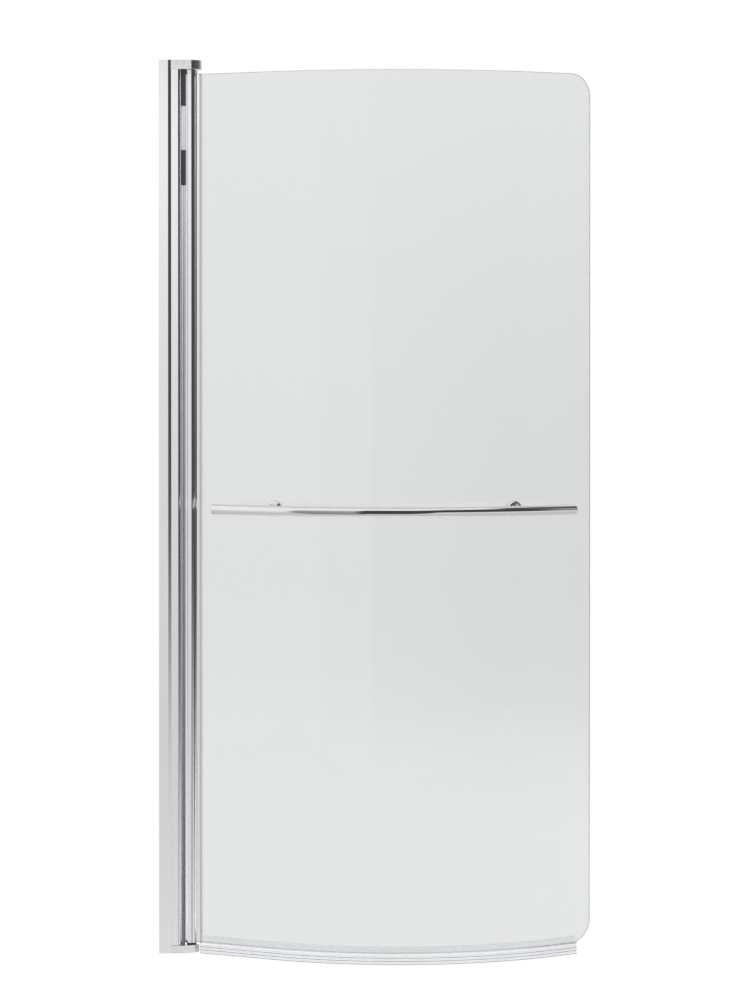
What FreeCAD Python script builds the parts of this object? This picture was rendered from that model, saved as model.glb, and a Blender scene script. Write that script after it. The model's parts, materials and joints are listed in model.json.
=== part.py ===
import FreeCAD, Part
import math
import os
import Sketcher

# Curved pivot bath screen.
# Frame: millimetres, +Z up. The wall is the plane X = 0 and +X points away from it, to the free edge of the glass.
# -Y is the room side, towards which the glass bows; +Y is the bath side. Z = 0 is the foot of the wall channel.

V = FreeCAD.Vector
doc = FreeCAD.newDocument("bath_screen")

# ---------------------------------------------------------------- driving dimensions
DIMS = [
    # wall channel
    ("overall_height", 1400.0),
    ("channel_half_depth", 16.5),
    ("channel_web", 2.0),
    ("channel_front_wall", 1.8),
    ("channel_rear_wall", 3.2),
    ("channel_reach", 19.3),
    ("lip_start", 14.6),
    ("lip_tip", 0.5),
    ("rear_bevel", 0.8),
    ("wall_hole_radius", 2.6),
    ("wall_hole_first", 100.0),
    ("wall_hole_span", 1200.0),
    ("grub_at", 15.0),
    ("grub_first", 160.0),
    ("grub_span", 1080.0),
    ("grub_hole_radius", 2.5),
    ("grub_radius", 2.44),
    # inner profile
    ("profile_left", 6.0),
    ("profile_right", 34.8),
    ("profile_front", 14.6),
    ("profile_rear", 13.2),
    ("profile_wall", 1.7),
    ("profile_corner", 5.0),
    ("groove_mouth", 1.5),
    ("groove_half", 2.6),
    ("groove_lip", 1.8),
    ("groove_deep", 3.8),
    ("groove_block", 4.3),
    ("groove_back", 5.5),
    ("gap_clear", 0.3),
    ("guide_low", 1204.5),
    ("guide_length", 55.0),
    ("guide_high", 1329.0),
    ("guide_half", 6.0),
    ("port_at", 15.0),
    ("port_front", 9.9),
    ("port_rear", 8.5),
    ("port_outer", 3.6),
    ("port_inner", 1.7),
    # caps
    ("cap_shoulder", 19.5),
    ("top_cap_under", 1385.7),
    ("bottom_cap_top", 12.0),
    ("top_nose", 16.5),
    ("bottom_nose", 12.0),
    ("bottom_cap_flat", 36.0),
    ("nose_tangent_deg", 74.0),
    ("cap_edge", 0.7),
    # pivot
    ("pivot_x", 50.0),
    ("pin_radius", 4.0),
    ("pin_seat", 4.02),
    ("pin_head", 6.4),
    ("pin_head_height", 3.0),
    ("bush_inner", 4.06),
    ("bush_outer", 5.4),
    ("plug_bore", 5.42),
    ("plug_spigot", 6.75),
    ("plug_collar", 9.9),
    ("plug_flat", 9.0),
    ("plug_depth", 30.0),
    # swinging post
    ("post_foot", 16.6),
    ("post_head", 1379.0),
    ("barrel_radius", 10.0),
    ("barrel_bore", 6.8),
    ("jaw_half", 5.4),
    ("slot_half", 3.7),
    ("slot_floor", 8.6),
    ("jaw_reach", 15.0),
    ("jaw_rear_reach", 14.4),
    ("jaw_setback", 4.4),
    ("jaw_chamfer", 2.0),
    ("gasket_lip", 2.7),
    ("gasket_rear_lip", 0.5),
    # glass
    ("entry_deg", 22.4),
    ("straight_len", 136.8),
    ("glass_radius", 515.0),
    ("turn_deg", 58.2),
    ("glass_thick", 6.0),
    ("glass_start", 9.4),
    ("glass_foot", 15.4),
    ("glass_head", 1379.0),
    ("corner_radius", 36.0),
    ("glass_hole", 6.0),
    # seal
    ("seal_start", 14.0),
    ("grip_start", 19.8),
    ("seal_turn_deg", 55.1),
    ("seal_foot", -1.5),
    ("seal_web", 1.2),
    ("grip_height", 9.7),
    ("grip_wall", 1.05),
    ("fin_out", 5.2),
    ("fin_pitch", 4.9),
    ("fin_drop", 3.2),
    ("fin_wall", 0.85),
    ("stem_half", 0.7),
    # rail
    ("rail_z", 700.0),
    ("rail_standoff", 57.0),
    ("rail_mid_deg", 21.63),
    ("rail_half_deg", 29.12),
    ("post_mid_deg", 21.65),
    ("post_half_deg", 21.03),
    ("rail_radius", 8.0),
    ("rail_bore", 6.8),
    ("insert_outer", 4.5),
    ("insert_hole", 4.55),
    ("stud_radius", 2.5),
    ("stud_hole", 2.55),
    ("rail_post_radius", 6.0),
    ("screw_radius", 2.95),
    ("screw_hole", 3.05),
    ("rose_radius", 13.0),
    ("rose_crown", 8.15),
    ("rose_throat", 6.6),
    ("cover_radius", 11.0),
]
NUM = dict(DIMS)
sheet = doc.addObject("Spreadsheet::Sheet", "dims")
for row, (alias, value) in enumerate(DIMS, start=1):
    sheet.set("A%d" % row, alias)
    sheet.set("B%d" % row, str(value))
    sheet.setAlias("B%d" % row, alias)
doc.recompute()


class Q:
    """A length or angle that knows its value and the expression on the sheet it comes from."""

    def __init__(self, value, text):
        self.v = float(value)
        self.t = text

    def __add__(self, o):
        o = q(o)
        return Q(self.v + o.v, "(%s + %s)" % (self.t, o.t))

    def __radd__(self, o):
        return q(o) + self

    def __sub__(self, o):
        o = q(o)
        return Q(self.v - o.v, "(%s - %s)" % (self.t, o.t))

    def __rsub__(self, o):
        return q(o) - self

    def __mul__(self, o):
        o = q(o)
        return Q(self.v * o.v, "(%s * %s)" % (self.t, o.t))

    def __rmul__(self, o):
        return q(o) * self

    def __truediv__(self, o):
        o = q(o)
        return Q(self.v / o.v, "(%s / %s)" % (self.t, o.t))

    def __neg__(self):
        return Q(-self.v, "(0 - %s)" % self.t)


def q(x):
    return x if isinstance(x, Q) else Q(x, "%.6f" % float(x))


def d(name):
    return Q(NUM[name], "dims." + name)


def qsin(a):
    return Q(math.sin(math.radians(a.v)), "sin(%s)" % a.t)


def qcos(a):
    return Q(math.cos(math.radians(a.v)), "cos(%s)" % a.t)


def qsqrt(a):
    return Q(math.sqrt(a.v), "sqrt(%s)" % a.t)


PIVOT = d("pivot_x")
ENTRY = d("entry_deg")
HALF_GLASS = d("glass_thick") / 2
# The glass stands behind the pivot axis by the setback, so the barrel hides the root of the jaws.
GLASS_X = PIVOT + d("jaw_setback") * qsin(ENTRY)
GLASS_Y = d("jaw_setback") * qcos(ENTRY)
ARC_X = GLASS_X + d("straight_len") * qcos(ENTRY) + d("glass_radius") * qsin(ENTRY)
ARC_Y = GLASS_Y + d("glass_radius") * qcos(ENTRY) - d("straight_len") * qsin(ENTRY)


# ---------------------------------------------------------------- helpers
def body(name):
    return doc.addObject("PartDesign::Body", name)


def plane(b, role):
    return [f for f in b.Origin.OriginFeatures if f.Role == role][0]


def sketch(b, name, role, wires, offset=None, axis=None):
    """A fully constrained sketch. Each wire is a list of corners (x, y), or (x, y, cx, cy, ccw) where an arc about (cx, cy) leaves that corner; ("circle", cx, cy, r) is a whole circle."""
    sk = b.newObject("Sketcher::SketchObject", name)
    sk.AttachmentSupport = [(plane(b, role), "")]
    sk.MapMode = "FlatFace"
    if offset is not None:
        sk.setExpression("AttachmentOffset.Base.z", q(offset).t)

    def fix(kind, geo, pos, value):
        n = sk.addConstraint(Sketcher.Constraint(kind, -1, 1, geo, pos, value.v))
        sk.setExpression("Constraints[%d]" % n, value.t)

    for wire in wires:
        if wire[0] == "circle":
            cx, cy, r = q(wire[1]), q(wire[2]), q(wire[3])
            g = sk.addGeometry(Part.Circle(V(cx.v, cy.v, 0), V(0, 0, 1), r.v), False)
            n = sk.addConstraint(Sketcher.Constraint("Radius", g, r.v))
            sk.setExpression("Constraints[%d]" % n, r.t)
            fix("DistanceX", g, 3, cx)
            fix("DistanceY", g, 3, cy)
            continue
        corners = [[q(c[0]), q(c[1])] + list(c[2:]) for c in wire]
        count = len(corners)
        made = []
        for i, c in enumerate(corners):
            e = corners[(i + 1) % count]
            if len(c) == 2:
                g = sk.addGeometry(
                    Part.LineSegment(V(c[0].v, c[1].v, 0), V(e[0].v, e[1].v, 0)), False
                )
                made.append((g, 1, 2))
            else:
                cx, cy, ccw = q(c[2]), q(c[3]), c[4]
                r = math.hypot(c[0].v - cx.v, c[1].v - cy.v)
                a0 = math.atan2(c[1].v - cy.v, c[0].v - cx.v)
                a1 = math.atan2(e[1].v - cy.v, e[0].v - cx.v)
                if not ccw:
                    a0, a1 = a1, a0
                while a1 <= a0:
                    a1 += 2 * math.pi
                g = sk.addGeometry(
                    Part.ArcOfCircle(Part.Circle(V(cx.v, cy.v, 0), V(0, 0, 1), r), a0, a1),
                    False,
                )
                made.append((g, 1, 2) if ccw else (g, 2, 1))
                fix("DistanceX", g, 3, cx)
                fix("DistanceY", g, 3, cy)
        for i in range(count):
            g, s, e = made[i]
            h, hs, he = made[(i + 1) % count]
            sk.addConstraint(Sketcher.Constraint("Coincident", g, e, h, hs))
        for i, c in enumerate(corners):
            g, s, e = made[i]
            before = corners[i - 1]
            if len(before) == 5:
                dx, dy = c[0].v - q(before[2]).v, c[1].v - q(before[3]).v
                if abs(dx) > abs(dy):
                    fix("DistanceY", g, s, c[1])
                else:
                    fix("DistanceX", g, s, c[0])
            else:
                fix("DistanceX", g, s, c[0])
                fix("DistanceY", g, s, c[1])
    if axis is not None:
        ax = q(axis)
        g = sk.addGeometry(Part.LineSegment(V(ax.v, 0, 0), V(ax.v, 100, 0)), True)
        sk.addConstraint(Sketcher.Constraint("Vertical", g))
        fix("DistanceX", g, 1, ax)
        sk.addConstraint(Sketcher.Constraint("DistanceY", -1, 1, g, 1, 0))
        sk.addConstraint(Sketcher.Constraint("DistanceY", g, 1, g, 2, 100))
    doc.recompute()
    if sk.solve() != 0 or not sk.FullyConstrained:
        raise RuntimeError("sketch %s of %s is not solved" % (name, b.Label))
    return sk


def pad(b, name, sk, length):
    f = b.newObject("PartDesign::Pad", name)
    f.Profile = sk
    f.Length = q(length).v
    f.setExpression("Length", q(length).t)
    b.Tip = f
    doc.recompute()
    return f


def revolve(b, name, sk, axis, angle=360):
    f = b.newObject("PartDesign::Revolution", name)
    f.Profile = sk
    f.ReferenceAxis = (sk, [axis])
    f.Angle = q(angle).v
    if isinstance(angle, Q):
        f.setExpression("Angle", angle.t)
    b.Tip = f
    doc.recompute()
    return f


def turn(axis, deg):
    return FreeCAD.Rotation(V(*axis), deg)


def drill(b, name, radius, height, base, rotation):
    """A round hole: base is the centre of its first end, rotation turns its axis away from +Z."""
    before = b.Shape.Volume
    f = b.newObject("PartDesign::SubtractiveCylinder", name)
    f.Radius = q(radius).v
    f.Height = q(height).v
    f.setExpression("Radius", q(radius).t)
    f.setExpression("Height", q(height).t)
    f.Placement = FreeCAD.Placement(V(*[q(x).v for x in base]), rotation)
    for letter, x in zip("xyz", base):
        if isinstance(x, Q):
            f.setExpression("Placement.Base." + letter, x.t)
    b.Tip = f
    doc.recompute()
    if not f.Shape.Volume < before - 0.01:
        raise RuntimeError("%s cut nothing from %s" % (name, b.Label))
    return f


def sink(b, name, r1, r2, height, base, rotation):
    """A countersink from radius r1 to r2 over height."""
    before = b.Shape.Volume
    f = b.newObject("PartDesign::SubtractiveCone", name)
    f.Radius1 = r1
    f.Radius2 = r2
    f.Height = height
    f.Placement = FreeCAD.Placement(V(*[q(x).v for x in base]), rotation)
    b.Tip = f
    doc.recompute()
    if not f.Shape.Volume < before - 0.01:
        raise RuntimeError("%s cut nothing from %s" % (name, b.Label))
    return f


def slot_box(b, name, size, base, rotation=None):
    before = b.Shape.Volume
    f = b.newObject("PartDesign::SubtractiveBox", name)
    f.Length, f.Width, f.Height = size
    f.Placement = FreeCAD.Placement(
        V(*[q(x).v for x in base]), rotation or FreeCAD.Rotation()
    )
    b.Tip = f
    doc.recompute()
    if not f.Shape.Volume < before - 0.001:
        raise RuntimeError("%s cut nothing from %s" % (name, b.Label))
    return f


def hex_socket(b, name, across, depth, base, rotation):
    f = b.newObject("PartDesign::SubtractivePrism", name)
    f.Polygon = 6
    f.Circumradius = across / math.sqrt(3)
    f.Height = depth
    f.Placement = FreeCAD.Placement(V(*[q(x).v for x in base]), rotation)
    b.Tip = f
    doc.recompute()
    return f


def along_z(b, name, feature, length, count):
    """Repeats a feature up the part, over length."""
    before = b.Shape.Volume
    f = b.newObject("PartDesign::LinearPattern", name)
    f.Originals = [feature]
    f.Direction = (plane(b, "Z_Axis"), [""])
    f.Length = q(length).v
    f.setExpression("Length", q(length).t)
    f.Occurrences = count
    b.Tip = f
    doc.recompute()
    if not f.Shape.Volume < before - 0.01:
        raise RuntimeError("%s repeated nothing on %s" % (name, b.Label))
    return f


def place(obj, x=0, y=0, z=0, angle=None):
    """Sets an object's place from the sheet; angle is a turn about Z in degrees."""
    turned = q(angle).v if angle is not None else 0.0
    obj.Placement = FreeCAD.Placement(V(q(x).v, q(y).v, q(z).v), turn((0, 0, 1), turned or 1.0))
    for letter, value in zip("xyz", (x, y, z)):
        if isinstance(value, Q):
            obj.setExpression("Placement.Base." + letter, value.t)
    if angle is not None:
        obj.setExpression("Placement.Rotation.Angle", q(angle).t)
    else:
        obj.Placement = FreeCAD.Placement(V(q(x).v, q(y).v, q(z).v), FreeCAD.Rotation())
    doc.recompute()


def group(name, members):
    g = doc.addObject("Part::Compound", name)
    g.Links = members
    doc.recompute()
    return g


def dress(b, kind, name, edges, size_alias):
    """Fillet or chamfer on the last feature of a body."""
    last = b.Tip
    f = b.newObject("PartDesign::" + kind, name)
    f.Base = (last, edges)
    setattr(f, "Radius" if kind == "Fillet" else "Size", NUM[size_alias])
    f.setExpression("Radius" if kind == "Fillet" else "Size", "dims." + size_alias)
    b.Tip = f
    doc.recompute()
    if "Invalid" in f.State:
        raise RuntimeError("%s failed on %s" % (name, b.Label))
    return f


def edges_at(shape, test):
    return ["Edge%d" % (i + 1) for i, e in enumerate(shape.Edges) if test(e)]


nodes = []

# ---------------------------------------------------------------- wall channel
HD = d("channel_half_depth")
front_in = -(HD - d("channel_front_wall"))
rear_in = HD - d("channel_rear_wall")
reach = d("channel_reach")

wall_channel = body("wall_channel")
sk = sketch(
    wall_channel,
    "channel_section",
    "XY_Plane",
    [
        [
            (0, -HD),
            (d("lip_start"), -HD),
            (reach, front_in - d("lip_tip")),
            (reach, front_in),
            (d("channel_web"), front_in),
            (d("channel_web"), rear_in),
            (reach, rear_in),
            (reach, HD - d("rear_bevel")),
            (reach - d("rear_bevel"), HD),
            (0, HD),
        ]
    ],
)
pad(wall_channel, "channel_extrusion", sk, d("overall_height"))
to_x = turn((0, 1, 0), 90)
to_y = turn((1, 0, 0), -90)
hole = drill(
    wall_channel,
    "wall_hole",
    d("wall_hole_radius"),
    d("channel_web") + 2,
    (q(-1), q(0), d("wall_hole_first")),
    to_x,
)
along_z(wall_channel, "wall_holes", hole, d("wall_hole_span"), 4)
hole = drill(
    wall_channel,
    "grub_hole",
    d("grub_hole_radius"),
    d("channel_rear_wall") + 2,
    (d("grub_at"), rear_in - 1, d("grub_first")),
    to_y,
)
along_z(wall_channel, "grub_holes", hole, d("grub_span"), 3)
nodes.append(wall_channel)

# set screws in the rear leg, flush with its outer face, their tips just short of the inner profile
grubs = []
for i in range(3):
    b = body("grub_screw_%d" % (i + 1))
    sk = sketch(
        b,
        "grub_section",
        "XY_Plane",
        [
            [
                (0, 0.05),
                (d("grub_radius") - 0.5, 0.05),
                (d("grub_radius"), 0.55),
                (d("grub_radius"), d("channel_rear_wall") - 0.2),
                (d("grub_radius") - 0.2, d("channel_rear_wall")),
                (0, d("channel_rear_wall")),
            ]
        ],
    )
    revolve(b, "grub_turned", sk, "V_Axis")
    hex_socket(b, "grub_socket", 2.5, 1.9, (0, NUM["channel_rear_wall"], 0), turn((1, 0, 0), 90))
    place(b, d("grub_at"), rear_in, d("grub_first") + d("grub_span") * (i / 2.0))
    grubs.append(b)
nodes.append(group("channel_grub_screws", grubs))

# ---------------------------------------------------------------- inner profile
PL, PR = d("profile_left"), d("profile_right")
PF, PB = -d("profile_front"), d("profile_rear")
PC, PW = d("profile_corner"), d("profile_wall")
inner_corner = PC - PW
pivot_profile = body("pivot_profile")
sk = sketch(
    pivot_profile,
    "profile_section",
    "XY_Plane",
    [
        [
            (PL, PF),
            (PR - PC, PF, PR - PC, PF + PC, True),
            (PR, PF + PC),
            (PR, -d("groove_mouth")),
            (PR - d("groove_lip"), -d("groove_mouth")),
            (PR - d("groove_lip"), -d("groove_half")),
            (PR - d("groove_deep"), -d("groove_half")),
            (PR - d("groove_deep"), d("groove_half")),
            (PR - d("groove_lip"), d("groove_half")),
            (PR - d("groove_lip"), d("groove_mouth")),
            (PR, d("groove_mouth")),
            (PR, PB - PC, PR - PC, PB - PC, True),
            (PR - PC, PB),
            (PL, PB),
        ],
        [
            (PL + PW, PF + PW),
            (PR - PC, PF + PW, PR - PC, PF + PC, True),
            (PR - PW, PF + PC),
            (PR - PW, -d("groove_block")),
            (PR - d("groove_back"), -d("groove_block")),
            (PR - d("groove_back"), d("groove_block")),
            (PR - PW, d("groove_block")),
            (PR - PW, PB - PC, PR - PC, PB - PC, True),
            (PR - PC, PB - PW),
            (PL + PW, PB - PW),
        ],
    ],
)
run = d("top_cap_under") - d("bottom_cap_top")
pad(pivot_profile, "profile_extrusion", sk, run)
sk = sketch(
    pivot_profile,
    "port_section",
    "XY_Plane",
    [
        ("circle", d("port_at"), -d("port_front"), d("port_outer")),
        ("circle", d("port_at"), d("port_rear"), d("port_outer")),
    ],
)
pad(pivot_profile, "screw_ports", sk, run)
drill(pivot_profile, "port_hole_front", d("port_inner"), run + 2, (d("port_at"), -d("port_front"), q(-1)), FreeCAD.Rotation())
drill(pivot_profile, "port_hole_rear", d("port_inner"), run + 2, (d("port_at"), d("port_rear"), q(-1)), FreeCAD.Rotation())
place(pivot_profile, 0, 0, d("bottom_cap_top"))
nodes.append(pivot_profile)

# soft strip in the groove, its lips just clear of the barrel, in two lengths between the guide blocks
lip = PIVOT - d("barrel_radius") - d("gap_clear")
strips = []
for tag, low, high in (
    ("long", d("bottom_cap_top") + 0.1, d("guide_low")),
    ("short", d("guide_low") + d("guide_length"), d("guide_high")),
):
    b = body("wiper_strip_" + tag)
    sk = sketch(
        b,
        "wiper_section",
        "XY_Plane",
        [
            [
                (PR - d("groove_deep") + 0.15, -2.4),
                (PR - d("groove_lip") - 0.1, -2.4),
                (PR - d("groove_lip") - 0.1, -1.35),
                (PR + 0.3, -1.35),
                (PR + 1.6, -2.3),
                (lip, -0.9),
                (lip, -0.2),
                (PR + 2.0, -0.7),
                (PR + 2.0, 0.7),
                (lip, 0.2),
                (lip, 0.9),
                (PR + 1.6, 2.3),
                (PR + 0.3, 1.35),
                (PR - d("groove_lip") - 0.1, 1.35),
                (PR - d("groove_lip") - 0.1, 2.4),
                (PR - d("groove_deep") + 0.15, 2.4),
            ]
        ],
    )
    pad(b, "wiper_extrusion", sk, high - low)
    place(b, 0, 0, low)
    strips.append(b)
nodes.append(group("post_wiper_seal", strips))

# two guide blocks in the same groove, hollowed to the barrel, that keep the long post straight
guides = []
saddle = d("barrel_radius") + d("gap_clear")
half = d("guide_half")
hollow = PIVOT - qsqrt(saddle * saddle - half * half)
for tag, low, high in (
    ("lower", d("guide_low"), d("guide_low") + d("guide_length")),
    ("upper", d("guide_high"), d("top_cap_under")),
):
    b = body("guide_block_" + tag)
    sk = sketch(
        b,
        "guide_section",
        "XY_Plane",
        [
            [
                (PR + 0.2, -half),
                (hollow, -half, PIVOT, 0, False),
                (hollow, half),
                (PR + 0.2, half),
                (PR + 0.2, 1.35),
                (PR - d("groove_lip") - 0.1, 1.35),
                (PR - d("groove_lip") - 0.1, 2.4),
                (PR - d("groove_deep") + 0.15, 2.4),
                (PR - d("groove_deep") + 0.15, -2.4),
                (PR - d("groove_lip") - 0.1, -2.4),
                (PR - d("groove_lip") - 0.1, -1.35),
                (PR + 0.2, -1.35),
            ]
        ],
    )
    pad(b, "guide_extrusion", sk, high - low)
    place(b, 0, 0, low)
    guides.append(b)
nodes.append(group("post_guide_blocks", guides))

# ---------------------------------------------------------------- caps
SH = d("cap_shoulder")
top_cap = body("top_cap")
NT = d("top_nose")
sk = sketch(
    top_cap,
    "top_cap_outline",
    "XY_Plane",
    [
        [
            (PL, PF),
            (SH, PF),
            (SH, -HD),
            (PIVOT, -HD, PIVOT, 0, True),
            (PIVOT, HD),
            (SH, HD),
            (SH, PB),
            (PL, PB),
        ]
    ],
)
top_thick = d("overall_height") - d("top_cap_under")
pad(top_cap, "top_cap_block", sk, top_thick)
rim = edges_at(
    top_cap.Shape,
    lambda e: min(v.Point.z for v in e.Vertexes) > top_thick.v - 0.01
    and e.BoundBox.XMax > NUM["cap_shoulder"] + 1,
)
dress(top_cap, "Fillet", "top_cap_rim", rim, "cap_edge")
up = FreeCAD.Rotation()
drill(top_cap, "pin_hole", d("pin_seat"), top_thick + 2, (PIVOT, q(0), q(-1)), up)
drill(top_cap, "pin_counterbore", d("pin_head") + 0.1, d("pin_head_height") + 1, (PIVOT, q(0), top_thick - d("pin_head_height")), up)
for tag, y in (("front", -d("port_front")), ("rear", d("port_rear"))):
    drill(top_cap, "screw_hole_" + tag, 2.0, top_thick + 2, (d("port_at"), y, q(-1)), up)
    sink(top_cap, "screw_sink_" + tag, 2.0, 3.75, 2.2, (d("port_at"), y, top_thick - 2.2), up)
place(top_cap, 0, 0, d("top_cap_under"))
nodes.append(top_cap)

bottom_cap = body("bottom_cap")
NB, NA = d("bottom_nose"), d("nose_tangent_deg")
sk = sketch(
    bottom_cap,
    "bottom_cap_outline",
    "XY_Plane",
    [
        [
            (PL, PF),
            (SH, PF),
            (SH, -HD),
            (d("bottom_cap_flat"), -HD),
            (PIVOT + NB * qcos(NA), -(NB * qsin(NA)), PIVOT, 0, True),
            (PIVOT + NB * qcos(NA), NB * qsin(NA)),
            (d("bottom_cap_flat"), HD),
            (SH, HD),
            (SH, PB),
            (PL, PB),
        ]
    ],
)
pad(bottom_cap, "bottom_cap_block", sk, d("bottom_cap_top"))
rim = edges_at(
    bottom_cap.Shape,
    lambda e: max(v.Point.z for v in e.Vertexes) < 0.01
    and e.BoundBox.XMax > NUM["cap_shoulder"] + 1,
)
dress(bottom_cap, "Fillet", "bottom_cap_rim", rim, "cap_edge")
drill(bottom_cap, "pin_hole", d("pin_seat"), d("bottom_cap_top") - 1, (PIVOT, q(0), q(2)), up)
for tag, y in (("front", -d("port_front")), ("rear", d("port_rear"))):
    drill(bottom_cap, "screw_hole_" + tag, 2.0, d("bottom_cap_top") + 2, (d("port_at"), y, q(-1)), up)
    sink(bottom_cap, "screw_sink_" + tag, 3.75, 2.0, 2.2, (d("port_at"), y, q(0)), up)
nodes.append(bottom_cap)

# four countersunk screws down and up into the profile's ports
cap_screws = []
for tag, y in (("front", -d("port_front")), ("rear", d("port_rear"))):
    for end in ("top", "bottom"):
        b = body("cap_screw_%s_%s" % (end, tag))
        sk = sketch(
            b,
            "cap_screw_section",
            "XZ_Plane",
            [
                [
                    (0, 0),
                    (3.35, 0),
                    (3.35, -0.25),
                    (1.9, -2.1),
                    (1.62, -3.0),
                    (1.62, -36.0),
                    (0.4, -38.0),
                    (0, -38.0),
                ]
            ],
        )
        revolve(b, "cap_screw_turned", sk, "V_Axis")
        slot_box(b, "recess_a", (3.6, 0.9, 1.6), (-1.8, -0.45, -1.5))
        slot_box(b, "recess_b", (0.9, 3.6, 1.6), (-0.45, -1.8, -1.5))
        if end == "top":
            place(b, d("port_at"), y, d("overall_height") - 0.1)
        else:
            b.Placement = FreeCAD.Placement(V(NUM["port_at"], y.v, 0.1), turn((1, 0, 0), 180))
            b.setExpression("Placement.Base.x", "dims.port_at")
            b.setExpression("Placement.Base.y", y.t)
        cap_screws.append(b)
nodes.append(group("cap_screws", cap_screws))

# ---------------------------------------------------------------- pivot pins, washer, bushes and plugs
top_pivot_pin = body("top_pivot_pin")
sk = sketch(
    top_pivot_pin,
    "top_pin_section",
    "XZ_Plane",
    [
        [
            (0, -0.1),
            (d("pin_head") - 0.3, -0.1),
            (d("pin_head"), -0.4),
            (d("pin_head"), -d("pin_head_height")),
            (d("pin_radius"), -d("pin_head_height")),
            (d("pin_radius"), -45.0),
            (d("pin_radius") - 1.0, -46.5),
            (0, -46.5),
        ]
    ],
)
revolve(top_pivot_pin, "top_pin_turned", sk, "V_Axis")
hex_socket(top_pivot_pin, "pin_socket", 5.0, 3.2, (0, 0, -3.2), up)
place(top_pivot_pin, PIVOT, 0, d("overall_height"))
nodes.append(top_pivot_pin)

bottom_pivot_pin = body("bottom_pivot_pin")
sk = sketch(
    bottom_pivot_pin,
    "bottom_pin_section",
    "XZ_Plane",
    [
        [
            (0, 2.0),
            (d("pin_radius") - 0.5, 2.0),
            (d("pin_radius"), 2.5),
            (d("pin_radius"), 40.0),
            (d("pin_radius") - 1.0, 41.5),
            (0, 41.5),
        ]
    ],
)
revolve(bottom_pivot_pin, "bottom_pin_turned", sk, "V_Axis")
place(bottom_pivot_pin, PIVOT, 0, 0)
nodes.append(bottom_pivot_pin)

COLLAR_FOOT = 2.0
COLLAR_HEAD = 6.2
thrust_washer = body("thrust_washer")
washer_thick = d("post_foot") - COLLAR_FOOT - d("bottom_cap_top") - 0.05
sk = sketch(
    thrust_washer,
    "thrust_washer_ring",
    "XY_Plane",
    [("circle", 0, 0, 7.5), ("circle", 0, 0, d("bush_inner"))],
)
pad(thrust_washer, "thrust_washer_disc", sk, washer_thick)
place(thrust_washer, PIVOT, 0, d("bottom_cap_top"))
nodes.append(thrust_washer)

hinge_post = body("hinge_post")
JH, SLH, JR, SF = d("jaw_half"), d("slot_half"), d("jaw_reach"), d("slot_floor")
BACK, JRR = d("jaw_setback"), d("jaw_rear_reach")
rear_face, front_face = BACK + JH, BACK - JH
rear_root = qsqrt(d("barrel_radius") * d("barrel_radius") - rear_face * rear_face)
front_root = qsqrt(d("barrel_radius") * d("barrel_radius") - front_face * front_face)
sk = sketch(
    hinge_post,
    "post_section",
    "XY_Plane",
    [
        [
            (JR, BACK - SLH),
            (SF, BACK - SLH),
            (SF, BACK + SLH),
            (JRR, BACK + SLH),
            (JRR, rear_face),
            (rear_root, rear_face, 0, 0, True),
            (front_root, front_face),
            (JR, front_face),
        ],
        ("circle", 0, 0, d("barrel_bore")),
    ],
)
pad(hinge_post, "post_extrusion", sk, d("post_head") - d("post_foot"))
tall = NUM["post_head"] - NUM["post_foot"]
slope = edges_at(
    hinge_post.Shape,
    lambda e: abs(e.CenterOfMass.z - tall) < 0.01
    and min(abs(e.CenterOfMass.x - NUM[k]) for k in ("jaw_reach", "jaw_rear_reach")) < 0.01
    and e.Length < 2.0,
)
dress(hinge_post, "Chamfer", "jaw_top", slope, "jaw_chamfer")
place(hinge_post, PIVOT, 0, d("post_foot"), -ENTRY)
nodes.append(hinge_post)


def post_plug(name, collar, up_side):
    """Plug in the end of the barrel: a collar outside, a spigot in the bore, and a stepped hole for bush and pin. Drawn with the post's end at Z = 0 and the collar above it."""
    s = 1 if up_side else -1
    b = body(name)
    depth = d("plug_depth")
    sk = sketch(
        b,
        "plug_section",
        "XZ_Plane",
        [
            [
                (d("plug_bore"), s * collar),
                (d("plug_collar") - 0.4, s * collar),
                (d("plug_collar"), s * (collar - 0.4)),
                (d("plug_collar"), 0),
                (d("plug_spigot"), 0),
                (d("plug_spigot"), -s * (depth - 1)),
                (d("plug_spigot") - 0.8, -s * depth),
                (4.5, -s * depth),
                (4.5, -s * 16.0),
                (d("plug_bore"), -s * 16.0),
            ]
        ],
    )
    revolve(b, "plug_turned", sk, "V_Axis")
    low = 0.0 if up_side else -collar
    slot_box(b, "glass_flat", (5.0, 24.0, collar + 0.2), (NUM["plug_flat"], -12.0, low - (0.0 if up_side else 0.2)))
    return b


top_post_plug = post_plug("top_post_plug", COLLAR_HEAD, True)
place(top_post_plug, PIVOT, 0, d("post_head"), -ENTRY)
nodes.append(top_post_plug)
bottom_post_plug = post_plug("bottom_post_plug", COLLAR_FOOT, False)
place(bottom_post_plug, PIVOT, 0, d("post_foot"), -ENTRY)
nodes.append(bottom_post_plug)

for name, z0, z1 in (
    ("top_bush", d("post_head") - 15.9, d("post_head") + (COLLAR_HEAD - 0.1)),
    ("bottom_bush", d("post_foot") - (COLLAR_FOOT - 0.1), d("post_foot") + 15.9),
):
    b = body(name)
    sk = sketch(
        b,
        "bush_ring",
        "XY_Plane",
        [("circle", 0, 0, d("bush_outer")), ("circle", 0, 0, d("bush_inner"))],
    )
    pad(b, "bush_tube", sk, z1 - z0)
    place(b, PIVOT, 0, z0)
    nodes.append(b)

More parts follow.
